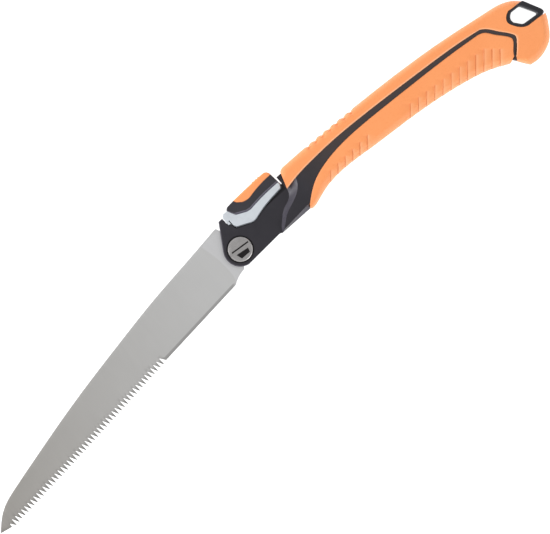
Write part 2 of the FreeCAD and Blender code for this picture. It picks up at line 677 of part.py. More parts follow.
def main():
    openings = handle_openings()
    blank = shell_blank()
    pieces = make_shells(blank, openings)
    pieces += make_grips(blank, openings)
    pieces += [make_pivot_bolt(), make_pivot_nut()]
    pieces += make_washers()
    pieces += make_pins()
    pieces += make_screws()
    pieces += [make_eyelet(), make_latch_spring()]
    pieces += make_blade()
    pieces += make_latch()
    doc.recompute()
    check_document()
    for piece in pieces:
        piece.Label = piece.Name
        if piece.Shape.isNull() or not piece.Shape.isValid():
            raise RuntimeError("%s has no valid shape" % piece.Name)
    shift = move_to_origin(pieces)
    os.makedirs("parts", exist_ok=True)
    for piece in pieces:
        piece.Shape.exportStep("parts/%s.step" % piece.Label)
    print("pivot at (%.3f, %.3f, %.3f) mm" % (shift.x, shift.y, shift.z))
    for piece in pieces:
        print("%-20s %2d solids %9.1f mm3" % (piece.Label, len(piece.Shape.Solids),
                                              piece.Shape.Volume))


main()
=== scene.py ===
import json
import math

import bmesh
import bpy
import numpy as np
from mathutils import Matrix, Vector
from mathutils.geometry import delaunay_2d_cdt


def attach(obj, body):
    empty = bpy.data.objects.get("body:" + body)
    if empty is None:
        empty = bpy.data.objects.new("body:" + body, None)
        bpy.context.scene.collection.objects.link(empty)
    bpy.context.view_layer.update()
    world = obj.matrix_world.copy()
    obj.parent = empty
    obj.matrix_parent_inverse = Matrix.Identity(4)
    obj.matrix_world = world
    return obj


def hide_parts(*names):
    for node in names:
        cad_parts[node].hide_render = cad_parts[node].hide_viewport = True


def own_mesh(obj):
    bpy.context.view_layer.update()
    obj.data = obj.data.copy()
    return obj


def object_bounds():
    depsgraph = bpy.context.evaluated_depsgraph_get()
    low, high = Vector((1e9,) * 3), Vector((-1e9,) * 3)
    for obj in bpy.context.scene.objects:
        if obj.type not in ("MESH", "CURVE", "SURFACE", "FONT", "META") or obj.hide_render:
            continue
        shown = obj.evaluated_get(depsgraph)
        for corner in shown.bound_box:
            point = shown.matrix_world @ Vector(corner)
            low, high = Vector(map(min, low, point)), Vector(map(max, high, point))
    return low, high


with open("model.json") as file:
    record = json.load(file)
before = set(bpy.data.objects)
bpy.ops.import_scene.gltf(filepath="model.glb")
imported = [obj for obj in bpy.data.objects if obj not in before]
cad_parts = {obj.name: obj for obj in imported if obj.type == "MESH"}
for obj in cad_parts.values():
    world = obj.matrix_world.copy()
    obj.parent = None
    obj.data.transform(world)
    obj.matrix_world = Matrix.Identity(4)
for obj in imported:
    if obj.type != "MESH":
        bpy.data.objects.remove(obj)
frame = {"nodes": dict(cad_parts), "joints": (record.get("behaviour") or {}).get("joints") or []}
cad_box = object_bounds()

# Outlines are in millimetres about the blade pivot, as seen from the saw's left side:
# +X towards the butt, +Y towards the spine, +Z towards the left side, blade at Z = 0.
MM = 0.001
JOINTS = {joint["name"]: joint for joint in frame["joints"]}
PIVOT = Vector(JOINTS["blade_fold"]["pos_m"])

# ---- geometry helpers ---------------------------------------------------------------


def to_frame(points):
    """Pivot millimetres to the frame's metres."""
    return np.asarray(points, float) * MM + np.array(PIVOT)


def spline(points, count):
    """Points evenly spread along a natural cubic spline through the given points."""
    given = np.array(points, float)
    chord = np.concatenate([[0], np.cumsum(np.linalg.norm(np.diff(given, axis=0), axis=1))])
    size = len(given)
    gaps = np.diff(chord)
    system = np.eye(size)
    right = np.zeros((size, given.shape[1]))
    slopes = np.diff(given, axis=0) / gaps[:, None]
    for k in range(1, size - 1):
        system[k, k - 1] = gaps[k - 1]
        system[k, k] = 2 * (gaps[k - 1] + gaps[k])
        system[k, k + 1] = gaps[k]
        right[k] = 6 * (slopes[k] - slopes[k - 1])
    bend = np.linalg.solve(system, right)

    def value(at):
        k = np.clip(np.searchsorted(chord, at, side="right") - 1, 0, size - 2)
        low = (at - chord[k])[:, None]
        high = (chord[k + 1] - at)[:, None]
        gap = gaps[k][:, None]
        return ((bend[k] * high ** 3 + bend[k + 1] * low ** 3) / (6 * gap)
                + (given[k] / gap - bend[k] * gap / 6) * high
                + (given[k + 1] / gap - bend[k + 1] * gap / 6) * low)

    fine = value(np.linspace(0, chord[-1], count * 8))
    walked = np.concatenate([[0], np.cumsum(np.linalg.norm(np.diff(fine, axis=0), axis=1))])
    even = np.linspace(0, walked[-1], count)
    return np.stack([np.interp(even, walked, fine[:, axis]) for axis in range(fine.shape[1])], 1)


def arc(centre, radius, start, end, count):
    """Points on an arc, angles in degrees, both ends included."""
    turn = np.radians(np.linspace(start, end, count))
    return np.stack([centre[0] + radius * np.cos(turn), centre[1] + radius * np.sin(turn)], 1)


def circle(centre, radius):
    return arc(centre, radius, 0, 360, 49)[:-1]


def smooth(value):
    """Ease from 0 to 1, level at both ends."""
    held = np.clip(value, 0, 1)
    return held * held * (3 - 2 * held)


def linked(name, data):
    """A new object in the scene."""
    made = bpy.data.objects.new(name, data)
    bpy.context.scene.collection.objects.link(made)
    return made


def make_object(name, points, faces, sharp_degrees=35.0):
    """A mesh piece from pivot-millimetre points, smooth shaded with sharp edges kept."""
    mesh = bpy.data.meshes.new(name)
    mesh.from_pydata(to_frame(points).tolist(), [], faces)
    mesh.validate()
    shape = bmesh.new()
    shape.from_mesh(mesh)
    bmesh.ops.recalc_face_normals(shape, faces=shape.faces)
    shape.to_mesh(mesh)
    shape.free()
    shade(mesh, sharp_degrees)
    piece = linked(name, mesh)
    return piece


def marked(piece, name, values):
    """Store a number per point for the piece's material to read."""
    layer = piece.data.attributes.new(name, "FLOAT", "POINT")
    layer.data.foreach_set("value", np.asarray(values, np.float32))


def shade(mesh, sharp_degrees):
    mesh.polygons.foreach_set("use_smooth", [True] * len(mesh.polygons))
    mesh.set_sharp_from_angle(angle=math.radians(sharp_degrees))
    mesh.update()


def applied(piece):
    """Replace the piece's mesh by what its modifiers make of it."""
    graph = bpy.context.evaluated_depsgraph_get()
    mesh = bpy.data.meshes.new_from_object(piece.evaluated_get(graph))
    piece.modifiers.clear()
    piece.data = mesh


def sealed(piece, sharp_degrees):
    """Weld split corners and fill the slivers that a cut leaves open."""
    shape = bmesh.new()
    shape.from_mesh(piece.data)
    bmesh.ops.remove_doubles(shape, verts=shape.verts, dist=1e-7)
    gaps = [edge for edge in shape.edges if edge.is_boundary]
    bmesh.ops.holes_fill(shape, edges=gaps, sides=4)
    shape.to_mesh(piece.data)
    shape.free()
    shade(piece.data, sharp_degrees)


def inside(points, polygon):
    """Which 2D points lie inside a polygon."""
    x = points[:, 0][:, None]
    y = points[:, 1][:, None]
    start = polygon[None, :, :]
    end = np.roll(polygon, -1, axis=0)[None, :, :]
    spans = (start[..., 1] > y) != (end[..., 1] > y)
    rise = np.where(end[..., 1] == start[..., 1], 1e-12, end[..., 1] - start[..., 1])
    cross = start[..., 0] + (y - start[..., 1]) / rise * (end[..., 0] - start[..., 0])
    return (np.sum(spans & (x < cross), axis=1) % 2) == 1


def softened_copy(node, name, voxel, passes=2):
    """A CAD node again, remeshed finely enough to round its edges a little."""
    piece = linked(name, frame["nodes"][node].data.copy())
    piece.data.name = name
    remesh = piece.modifiers.new("remesh", "REMESH")
    remesh.mode = "VOXEL"
    remesh.voxel_size = voxel * MM
    smoothing = piece.modifiers.new("smoothing", "SMOOTH")
    smoothing.factor = 0.5
    smoothing.iterations = passes
    applied(piece)
    shade(piece.data, 60.0)
    return piece


def lathe(name, profile, count):
    """Turn a profile of (radius, height) points, first and last on the axis."""
    rings = profile[1:-1]
    turn = np.linspace(0, 2 * math.pi, count, endpoint=False)
    points = [(0, 0, profile[0][1]), (0, 0, profile[-1][1])]
    for radius, height in rings:
        points += [(radius * math.cos(a), radius * math.sin(a), height) for a in turn]
    faces = []
    last = 2 + (len(rings) - 1) * count
    for k in range(count):
        after = (k + 1) % count
        faces += [(0, 2 + after, 2 + k), (1, last + k, last + after)]
        for m in range(len(rings) - 1):
            low = 2 + m * count
            faces.append((low + k, low + after, low + count + after, low + count + k))
    return make_object(name, points, faces, 40.0)


def placed(piece, body, node):
    """The piece rides on a body and stands for a CAD node."""
    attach(piece, body)
    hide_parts(node)


# ---- materials ----------------------------------------------------------------------


class Look:
    """A material with a Principled shader, built up from procedural nodes."""

    def __init__(self, name, color, roughness, metallic=0.0):
        self.material = bpy.data.materials.new(name)
        self.material.use_nodes = True
        self.tree = self.material.node_tree
        self.shader = self.tree.nodes["Principled BSDF"]
        self.shader.inputs["Base Color"].default_value = (*color, 1)
        self.shader.inputs["Roughness"].default_value = roughness
        self.shader.inputs["Metallic"].default_value = metallic
        self.color = color
        self.color_socket = None
        self.place = self.tree.nodes.new("ShaderNodeTexCoord").outputs["Object"]
        self.normal = None

    def node(self, kind, **settings):
        made = self.tree.nodes.new(kind)
        for key, value in settings.items():
            if hasattr(made, key):
                setattr(made, key, value)
            else:
                made.inputs[key].default_value = value
        return made

    def link(self, source, target):
        self.tree.links.new(source, target)

    def stretched(self, scale, turn):
        """Object coordinates scaled by axis, after a turn about Z in degrees."""
        mapping = self.node("ShaderNodeMapping")
        mapping.inputs["Scale"].default_value = scale
        mapping.inputs["Rotation"].default_value = (0, 0, math.radians(turn))
        self.link(self.place, mapping.inputs["Vector"])
        return mapping.outputs["Vector"]

    def noise(self, scale, detail, place=None):
        """Noise whose grain is about 1/scale metres across."""
        texture = self.node("ShaderNodeTexNoise", Scale=scale, Detail=detail,
                            Roughness=0.55)
        self.link(place or self.place, texture.inputs["Vector"])
        return texture.outputs["Fac"]

    def cells(self, scale):
        texture = self.node("ShaderNodeTexVoronoi", Scale=scale)
        self.link(self.place, texture.inputs["Vector"])
        return texture.outputs["Distance"]

    def span(self, value, low, high, new_low, new_high):
        """Map a value from one range to another, held at both ends."""
        ramp = self.node("ShaderNodeMapRange")
        for key, number in zip(("From Min", "From Max", "To Min", "To Max"),
                               (low, high, new_low, new_high)):
            ramp.inputs[key].default_value = number
        self.link(value, ramp.inputs["Value"])
        return ramp.outputs["Result"]

    def attribute(self, name):
        return self.node("ShaderNodeAttribute", attribute_name=name).outputs["Fac"]

    def slopes(self):
        """One on sloped faces and bevels, nought on flat faces and upright walls: the mask for a
        painted highlight.
        """
        split = self.node("ShaderNodeSeparateXYZ")
        source = self.node("ShaderNodeTexCoord")
        self.link(source.outputs["Normal"], split.inputs["Vector"])
        size = self.node("ShaderNodeMath", operation="ABSOLUTE")
        self.link(split.outputs["Z"], size.inputs[0])
        off_flat = self.span(size.outputs[0], 0.93, 0.985, 1, 0)
        off_wall = self.span(size.outputs[0], 0.25, 0.5, 0, 1)
        both = self.node("ShaderNodeMath", operation="MULTIPLY")
        self.link(off_flat, both.inputs[0])
        self.link(off_wall, both.inputs[1])
        return both.outputs[0]

    def tint(self, amount, other):
        """Mix the colour so far with another one by a socket's value."""
        mix = self.node("ShaderNodeMix", data_type="RGBA")
        if self.color_socket is None:
            mix.inputs[6].default_value = (*self.color, 1)
        else:
            self.link(self.color_socket, mix.inputs[6])
        mix.inputs[7].default_value = (*other, 1)
        self.link(amount, mix.inputs[0])
        self.color_socket = mix.outputs[2]
        self.link(self.color_socket, self.shader.inputs["Base Color"])

    def rough(self, value):
        self.link(value, self.shader.inputs["Roughness"])

    def bump(self, height, distance, strength=1.0):
        """Add relief, with the height socket's unit step worth distance metres."""
        made = self.node("ShaderNodeBump", Strength=strength, Distance=distance)
        self.link(height, made.inputs["Height"])
        if self.normal is not None:
            self.link(self.normal, made.inputs["Normal"])
        self.normal = made.outputs["Normal"]
        self.link(self.normal, self.shader.inputs["Normal"])


def grip_rubber(name):
    """Orange soft overmould: fine pebble, faint mottling; painted shade in grooves and
    serrations, painted highlight on crests and the lip.
    """
    look = Look(name, (0.89, 0.307, 0.101), 0.5)
    look.tint(look.span(look.noise(38, 3), 0.35, 0.7, 0, 0.55), (0.92, 0.338, 0.118))
    look.tint(look.span(look.noise(900, 2), 0.5, 0.75, 0, 0.35), (0.80, 0.258, 0.074))
    # Painted highlight on the crests behind the finger grooves' lines.
    look.tint(look.span(look.attribute("crest_highlight"), 0, 1, 0, 0.6), (0.94, 0.47, 0.24))
    # Painted shade along the finger grooves' lines and between the thumb serrations.
    look.tint(look.span(look.attribute("recess_shade"), 0, 1, 0, 0.85), (0.55, 0.15, 0.04))
    # Painted highlight along the spine grip's lip by the stripe.
    look.tint(look.span(look.attribute("lip"), 0, 1, 0, 0.6), (1.0, 0.55, 0.32))
    look.rough(look.span(look.noise(120, 3), 0.3, 0.7, 0.42, 0.6))
    look.bump(look.cells(1500), 0.00008, 0.5)
    look.bump(look.noise(2600, 2), 0.00003, 0.5)
    look.shader.inputs["Specular IOR Level"].default_value = 0.5
    look.shader.inputs["Sheen Weight"].default_value = 0.08
    look.shader.inputs["Sheen Roughness"].default_value = 0.4
    look.shader.inputs["Sheen Tint"].default_value = (1.0, 0.85, 0.72, 1)
    return look.material


def nylon_look(name, color, roughness):
    """Black glass-filled nylon: spark-eroded mould texture, faint fibre specks, painted
    highlight on slopes.
    """
    look = Look(name, color, roughness)
    look.tint(look.span(look.noise(60, 3), 0.4, 0.7, 0, 0.5),
              tuple(channel * 1.35 for channel in color))
    fibres = look.noise(700, 2, look.stretched((1, 7, 7), 20))
    look.tint(look.span(fibres, 0.66, 0.78, 0, 0.4),
              tuple(channel * 2.2 for channel in color))
    # Painted highlight on sloped faces and bevels.
    look.tint(look.slopes(), tuple(channel * 3.2 for channel in color))
    look.rough(look.span(look.noise(260, 3), 0.3, 0.7, roughness - 0.07, roughness + 0.08))
    look.bump(look.noise(2400, 3), 0.00003, 0.5)
    look.shader.inputs["Specular IOR Level"].default_value = 0.34
    return look


def shell_nylon(name):
    """Nylon of the shells, a little paler and warmer along the stripe between the grips."""
    look = nylon_look(name, (0.020, 0.0185, 0.024), 0.42)
    split = look.node("ShaderNodeSeparateXYZ")
    look.link(look.place, split.inputs["Vector"])
    look.tint(look.span(split.outputs["X"], 0.053, 0.085, 0, 1), (0.044, 0.034, 0.034))
    return look.material


def cap_nylon(name):
    """Black cap whose belly-facing lower bevel is glossier and tinted violet grey."""
    look = Look(name, (0.026, 0.024, 0.031), 0.42)
    look.tint(look.span(look.noise(60, 3), 0.4, 0.7, 0, 0.5), (0.034, 0.032, 0.040))
    look.tint(look.attribute("bevel"), (0.15, 0.14, 0.18))
    look.rough(look.span(look.attribute("bevel"), 0, 1, 0.44, 0.25))
    look.bump(look.noise(2400, 3), 0.00003, 0.4)
    look.shader.inputs["Specular IOR Level"].default_value = 0.4
    return look.material


def cast_silver(name):
    """Bead-blasted light casting with a clear lacquer, and painted shade on its belly-facing
    lower bevel.
    """
    look = Look(name, (0.66, 0.70, 0.745), 0.45, 0.55)
    look.tint(look.span(look.noise(180, 3), 0.4, 0.7, 0, 0.5), (0.58, 0.615, 0.66))
    # Painted shade on the bevels that face the belly side.
    look.tint(look.attribute("bevel"), (0.19, 0.205, 0.23))
    look.rough(look.span(look.noise(420, 3), 0.3, 0.7, 0.38, 0.52))
    look.bump(look.noise(3200, 3), 0.00002, 0.5)
    return look.material


def blade_steel(name):
    """Hollow-ground steel: very fine grind marks, darker hardened tooth tips, painted shade
    darker and warmer towards the toe.
    """
    look = Look(name, (0.74, 0.74, 0.735), 0.33, 1.0)
    fine = look.noise(2600, 2, look.stretched((1.0, 0.02, 1.0), -10))
    broad = look.noise(420, 2, look.stretched((1.0, 0.05, 1.0), -10))
    look.tint(look.span(fine, 0.35, 0.7, 0, 0.16), (0.66, 0.66, 0.655))
    look.tint(look.span(broad, 0.4, 0.7, 0, 0.08), (0.67, 0.67, 0.665))
    split = look.node("ShaderNodeSeparateXYZ")
    look.link(look.place, split.inputs["Vector"])
    # Painted shade: darker and warmer towards the toe.
    look.tint(look.span(split.outputs["X"], -0.255, -0.03, 1, 0), (0.48, 0.46, 0.43))
    look.tint(look.attribute("ricasso"), (0.80, 0.80, 0.81))
    look.tint(look.attribute("edge"), (0.24, 0.235, 0.23))
    look.tint(look.attribute("hardened"), (0.17, 0.165, 0.16))
    look.rough(look.span(fine, 0.35, 0.7, 0.30, 0.38))
    look.bump(fine, 0.000004, 0.3)
    return look.material


def turned_steel(name, color, roughness, centre, rim, painted_shade_below):
    """Machined steel with fine rings about a centre line; painted shade darkens its rim and all
    below a given height.
    """
    look = Look(name, color, roughness, 1.0)
    mapping = look.node("ShaderNodeMapping")
    mapping.inputs["Location"].default_value = (-centre[0], -centre[1], 0)
    look.link(look.place, mapping.inputs["Vector"])
    waves = look.node("ShaderNodeTexWave", wave_type="RINGS", rings_direction="Z",
                      Scale=2600, Distortion=2.0, Detail=2.0)
    look.link(mapping.outputs["Vector"], waves.inputs["Vector"])
    look.tint(look.span(look.noise(300, 3), 0.4, 0.75, 0, 0.45),
              tuple(channel * 0.82 for channel in color))
    split = look.node("ShaderNodeSeparateXYZ")
    look.link(mapping.outputs["Vector"], split.inputs["Vector"])
    level = look.node("ShaderNodeVectorMath", operation="MULTIPLY")
    level.inputs[1].default_value = (1, 1, 0)
    look.link(mapping.outputs["Vector"], level.inputs[0])
    away = look.node("ShaderNodeVectorMath", operation="LENGTH")
    look.link(level.outputs["Vector"], away.inputs[0])
    # Painted shade in a ring at the rim.
    look.tint(look.span(away.outputs["Value"], rim - 0.4 * MM, rim - 0.1 * MM, 0, 1),
              (0.06, 0.055, 0.056))
    # Painted shade on everything below the given height, such as a pocket.
    look.tint(look.span(split.outputs["Z"], painted_shade_below, painted_shade_below + 0.3 * MM, 1, 0),
              (0.035, 0.032, 0.033))
    look.rough(look.span(look.noise(500, 3), 0.3, 0.7, roughness - 0.05, roughness + 0.08))
    look.bump(waves.outputs["Fac"], 0.000004, 0.4)
    return look.material


def plain_metal(name, color, roughness):
    look = Look(name, color, roughness, 1.0)
    look.tint(look.span(look.noise(400, 3), 0.4, 0.7, 0, 0.5),
              tuple(channel * 0.75 for channel in color))
    look.rough(look.span(look.noise(900, 2), 0.3, 0.7, roughness - 0.06, roughness + 0.1))
    look.bump(look.noise(2500, 2), 0.00001, 0.4)
    return look.material


def painted(piece, material):
    piece.data.materials.clear()
    piece.data.materials.append(material)


# ---- grips --------------------------------------------------------------------------

GRIP_TOP = 11.5
STRIPE_LIP = 10.55
SHELL_TOP = 9.05
GRIP_FOOT = 0.03
BELLY_FOOT = 1.1
RIM_REACH = 5.2
RIM_TALL = 8.6
LIP = 0.9

# Each outline is a chain of smooth stretches that meet at corners.
SPINE_OUTER = [[(55.1, 20.7), (56.4, 21.6), (58.5, 22.1)],
               [(58.5, 22.1), (79.2, 21.8), (120.0, 19.9), (162.5, 16.9), (203.0, 12.1),
                (230.0, 7.7), (243.0, 4.8), (250.3, 0.6), (253.6, -2.9)],
               [(253.6, -2.9), (260.2, -15.6)],
               [(260.2, -15.6), (260.65, -18.0), (257.5, -26.0), (250.5, -34.8),
                (242.0, -38.9), (235.5, -39.8), (229.6, -39.0)],
               [(229.6, -39.0), (227.0, -35.2), (224.4, -31.0)]]
SPINE_INNER = [[(50.9, 9.2), (60.9, 10.95), (77.9, 12.25), (91.4, 12.65), (121.9, 11.55),
                (149.0, 9.55), (176.0, 7.15), (203.1, 4.25), (219.3, 1.65)],
               [(219.3, 1.65), (222.2, -0.25), (228.0, -7.45), (233.75, -15.0),
                (234.75, -17.8), (233.45, -20.4), (226.1, -28.2)]]
SPINE_TIES = [((55.1, 20.7), (50.9, 9.2)), ((66.0, 22.3), (64.0, 11.3)),
              ((203.0, 12.1), (203.1, 4.2)), ((232.0, 7.2), (219.3, 1.6)),
              ((253.6, -2.9), (224.5, -3.1)), ((260.2, -15.6), (232.0, -12.6)),
              ((257.5, -26.0), (234.7, -17.8)), ((242.0, -38.9), (233.4, -20.4)),
              ((229.6, -39.0), (229.0, -25.2)), ((224.4, -31.0), (226.1, -28.2))]

BELLY_OUTER = [[(53.8, -11.3), (54.8, -12.0), (56.2, -12.2), (61.0, -11.2), (70.0, -8.5),
                (84.6, -6.6), (108.3, -8.1), (135.4, -10.5), (162.5, -13.5),
                (189.6, -18.3), (206.0, -22.9), (219.9, -29.3)]]
BELLY_INNER = [[(55.4, -8.9), (60.9, -4.45), (67.7, -0.05), (81.2, 4.65), (94.8, 6.75),
                (111.7, 7.35), (135.4, 6.35), (162.5, 4.65), (189.6, 2.65), (203.0, 1.35),
                (216.4, -0.25)],
               [(216.4, -0.25), (220.15, -1.75), (224.65, -7.2), (230.25, -14.0),
                (231.85, -17.6), (230.75, -20.1), (227.0, -24.15), (225.0, -27.2)]]
# Behind its pointed front the belly grip's sections run along its finger grooves.
BELLY_TIES = [((53.8, -11.3), (55.4, -8.9)), ((64.0, -10.2), (63.5, -2.6)),
              ((72.5, -8.1), (75.0, 3.0)), ((81.0, -6.6), (91.8, 6.5)),
              ((135.4, -10.5), (149.9, 5.55)), ((189.6, -18.3), (207.4, 0.85)),
              ((206.0, -22.9), (223.0, -5.1)), ((213.0, -25.8), (227.6, -10.7)),
              ((219.9, -29.3), (225.0, -27.2))]

# Thumb serrations on the spine, and finger grooves that rise from the belly edge.
SERRATION_PITCH = 6.15
SERRATIONS = 80.8 + SERRATION_PITCH * np.arange(7)
SERRATION_DEPTH = 1.05
GROOVE_RUN = np.array([0.670, 0.742])
GROOVE_ACROSS = np.array([0.742, -0.670])
GROOVE_DEPTH = 0.7
GROOVE_LINES = np.array([(61.0 + 4.95 * k, 54.0 + 4.7 * k) for k in range(6)]
                        + [(114.8 + 5.53 * k, min(99.0 + 4.1 * k, 135.8)) for k in range(12)])


def chain(stretches, count):
    """Points along smooth stretches that share their end points."""
    sizes = [np.linalg.norm(np.diff(np.array(stretch), axis=0), axis=1).sum()
             for stretch in stretches]
    parts = []
    for stretch, length in zip(stretches, sizes):
        part = spline(stretch, max(8, int(count * length / sum(sizes))))
        parts.append(part if not parts else part[1:])
    return np.concatenate(parts)


def nearest_index(curve, place):
    return int(np.argmin(np.sum((curve - np.array(place)) ** 2, axis=1)))


def matched(outer, inner, ties):
    """Closely spaced pairs of points on a grip's outer and inner outlines."""
    far = chain(outer, 6000)
    near = chain(inner, 6000)
    far_marks = [nearest_index(far, tie[0]) for tie in ties]
    near_marks = [nearest_index(near, tie[1]) for tie in ties]
    pairs = []
    for k in range(len(ties) - 1):
        last = k == len(ties) - 2
        share = np.linspace(0, 1, 501)[:None if last else -1]
        spots = []
        for line, marks in ((far, far_marks), (near, near_marks)):
            part = line[marks[k]:marks[k + 1] + 1]
            place = share * (len(part) - 1)
            spots.append(np.stack([np.interp(place, np.arange(len(part)), part[:, axis])
                                   for axis in (0, 1)], 1))
        pairs.append(np.stack(spots, 1))
    return np.concatenate(pairs)


def thinned(pairs, step, key, marks, offsets):
    """Pick pairs a step apart, and closer ones around the marks on a key value."""
    far_walk = np.linalg.norm(np.diff(pairs[:, 0], axis=0), axis=1)
    near_walk = np.linalg.norm(np.diff(pairs[:, 1], axis=0), axis=1)
    walk = np.concatenate([[0], np.cumsum(np.maximum(far_walk, near_walk))])
    wanted = {0: True, len(pairs) - 1: True}
    for mark in marks:
        for offset in offsets:
            wanted[int(np.argmin(np.abs(key - mark - offset)))] = True
    fixed = walk[np.array(sorted(wanted))]
    for place in np.arange(0, walk[-1], step):
        if np.min(np.abs(fixed - place)) > 0.45 * step:
            wanted[int(np.searchsorted(walk, place))] = True
    return pairs[sorted(wanted)]


def section(width, slant_out, slant_in, foot, steps):
    """Closed grip section: (distance from the outer edge, height), and how far it faces out."""
    reach = min(RIM_REACH * slant_out, 0.55 * width)
    lip = min(LIP * slant_in, 0.2 * width)
    wall = min(1.6 * slant_out, 0.4 * width)
    turn = np.radians(np.linspace(0, 90, 17))
    rim = np.stack([reach * (1 - np.cos(turn)), GRIP_TOP - RIM_TALL * (1 - np.sin(turn))], 1)
    low = np.linspace(foot, GRIP_TOP - RIM_TALL, 4)[:3]
    foot_points = np.stack([np.zeros(3), low], 1)
    flat = np.stack([np.linspace(reach, width - lip, steps)[1:],
                     np.full(steps - 1, GRIP_TOP)], 1)
    lip_turn = np.radians(np.linspace(90, 0, 6))[1:]
    edge = np.stack([width - lip + lip * np.cos(lip_turn),
                     STRIPE_LIP + (GRIP_TOP - STRIPE_LIP) * np.sin(lip_turn)], 1)
    back = np.array([[width, SHELL_TOP], [wall, SHELL_TOP], [wall, foot]])
    outward = np.concatenate([np.ones(3), np.cos(turn), np.zeros(len(flat) + len(edge) + 3)])
    return np.concatenate([foot_points, rim, flat, edge, back]), outward


def groove_relief(spots):
    """Finger grooves: how deep they are, a mask for painted shade along their lines, and one for
    painted highlight on their crests.
    """
    run = spots @ GROOVE_RUN
    across = spots @ GROOVE_ACROSS
    lines = GROOVE_LINES[:, 0]
    relief = np.zeros(len(spots))
    line_shade_mark = np.zeros(len(spots))
    crest_highlight_mark = np.zeros(len(spots))
    for k, (line, top) in enumerate(GROOVE_LINES):
        pitch = lines[k] - lines[k - 1] if k and lines[k] - lines[k - 1] < 9 else 6.5
        before = line - across
        length = smooth((top + 0.4 - run) / 1.4)
        ramp = np.where((before >= 0) & (before <= pitch), 1 - before / pitch, 0) ** 1.4
        wall = np.where(before < 0, np.clip(1 + before / 0.35, 0, 1), 0)
        relief = np.maximum(relief, (ramp + wall) * length)
        # Painted shade along each line.
        line_shade_mark = np.maximum(line_shade_mark, np.exp(-(np.abs(before + 0.12) / 0.3) ** 3) * length)
        # Painted highlight on the rise behind each line.
        crest_highlight = np.where(before < -0.5, np.exp((before + 0.5) / 1.8), 0)
        crest_highlight_mark = np.maximum(crest_highlight_mark, crest_highlight * length)
    return relief, line_shade_mark, crest_highlight_mark * (1 - line_shade_mark)


def scallop(x):
    """Recess between the rounded thumb serrations at a place along the spine."""
    nearest = np.min(np.abs(SERRATIONS - x))
    if nearest > SERRATION_PITCH / 2 or x < SERRATIONS[0] - 2:
        return 0.0
    return SERRATION_DEPTH * (1 - 2 * nearest / SERRATION_PITCH) ** 1.8


def slants(pairs):
    """One over the cosine between each section and its outlines' normals, held at 1.7."""
    inward = pairs[:, 1] - pairs[:, 0]
    inward /= np.linalg.norm(inward, axis=1)[:, None]
    values = []
    for side in (0, 1):
        along = np.gradient(pairs[:, side], axis=0)
        along /= np.maximum(np.linalg.norm(along, axis=1), 1e-9)[:, None]
        sine = np.abs(along[:, 0] * inward[:, 1] - along[:, 1] * inward[:, 0])
        values.append(1 / np.clip(sine, 0.6, 1))
    return inward, values[0], values[1]


def grip(name, pairs, side, foot, belly):
    """Skin of one soft grip, swept through its sections."""
    inward, slant_out, slant_in = slants(pairs)
    rows = []
    marks = []
    for k, (far, near) in enumerate(pairs):
        width = np.linalg.norm(near - far)
        profile, outward = section(width, slant_out[k], slant_in[k], foot, 34 if belly else 14)
        distance = profile[:, 0]
        height = profile[:, 1].copy()
        skin = np.arange(len(profile)) < len(profile) - 3
        spots = far + distance[:, None] * inward[k]
        mark = np.zeros((len(profile), 3))
        if belly:
            relief, line_shade_mark, crest_highlight_mark = groove_relief(spots)
            inner = np.clip((width - 1.5 - distance) / 2, 0, 1) * skin
            depth = GROOVE_DEPTH * relief * inner
            spots = spots + (0.35 * depth * outward)[:, None] * inward[k]
            height -= depth * (1 - outward) * (distance > 0)
            # Painted shade along the finger grooves' lines.
            mark[:, 0] = line_shade_mark * inner
            # Painted highlight on their crests.
            mark[:, 1] = crest_highlight_mark * inner
        else:
            recess = scallop(far[0]) if far[1] > 15 else 0.0
            fade = recess * (1 - smooth((distance - 0.5) / 5.0)) * skin
            spots = spots + fade[:, None] * inward[k]
            # Painted shade between the thumb serrations.
            mark[:, 0] = 0.5 * fade * (distance > 1)
            # Painted highlight along the lip by the stripe.
            mark[:, 2] = smooth((distance - width + 1.3) / 0.8) * skin
        rows.append(np.column_stack([spots, side * height]))
        marks.append(mark)
    count = len(rows[0])
    faces = []
    for k in range(len(rows) - 1):
        for m in range(count):
            after = (m + 1) % count
            faces.append((k * count + m, k * count + after, (k + 1) * count + after,
                          (k + 1) * count + m))
    faces.append(tuple(range(count)))
    faces.append(tuple(range((len(rows) - 1) * count, len(rows) * count)))
    skin_piece = make_object(name, np.concatenate(rows), faces, 42.0)
    # Painted shade in recesses; painted highlight on crests and on the lip.
    for column, mark in enumerate(("recess_shade", "crest_highlight", "lip")):
        marked(skin_piece, mark, np.concatenate(marks)[:, column])
    return skin_piece


def prism(name, outline_points, low, high):
    count = len(outline_points)
    lower = np.column_stack([outline_points, np.full(count, low)])
    upper = np.column_stack([outline_points, np.full(count, high)])
    faces = [tuple(range(count)), tuple(range(count, 2 * count))]
    for k in range(count):
        after = (k + 1) % count
        faces.append((k, after, count + after, count + k))
    return make_object(name, np.concatenate([lower, upper]), faces)


def carved(piece, *tools):
    """Cut tools out of a piece and throw the tools away."""
    for tool in tools:
        cut = piece.modifiers.new("cut", "BOOLEAN")
        cut.object = tool
        cut.operation = "DIFFERENCE"
        cut.solver = "EXACT"
    applied(piece)
    sealed(piece, 50.0)
    for tool in tools:
        bpy.data.objects.remove(tool)


def eyelet_clearance():
    left = spline([(245.6, -18.25), (243.0, -16.95), (237.75, -10.6), (236.75, -7.6),
                   (238.15, -4.35), (242.4, -1.75)], 40)
    top = spline([(242.4, -1.75), (247.0, -2.35), (251.5, -2.55), (253.6, -2.85)], 12)[1:]
    right = np.array([(266.0, -2.85), (266.0, -19.8), (259.0, -19.45), (258.0, -19.25)])
    return np.concatenate([left, top, right])


def screw_well(place):
    return prism("well_cutter", circle(place, WELL_RADIUS), -PAST_GRIP, -5)


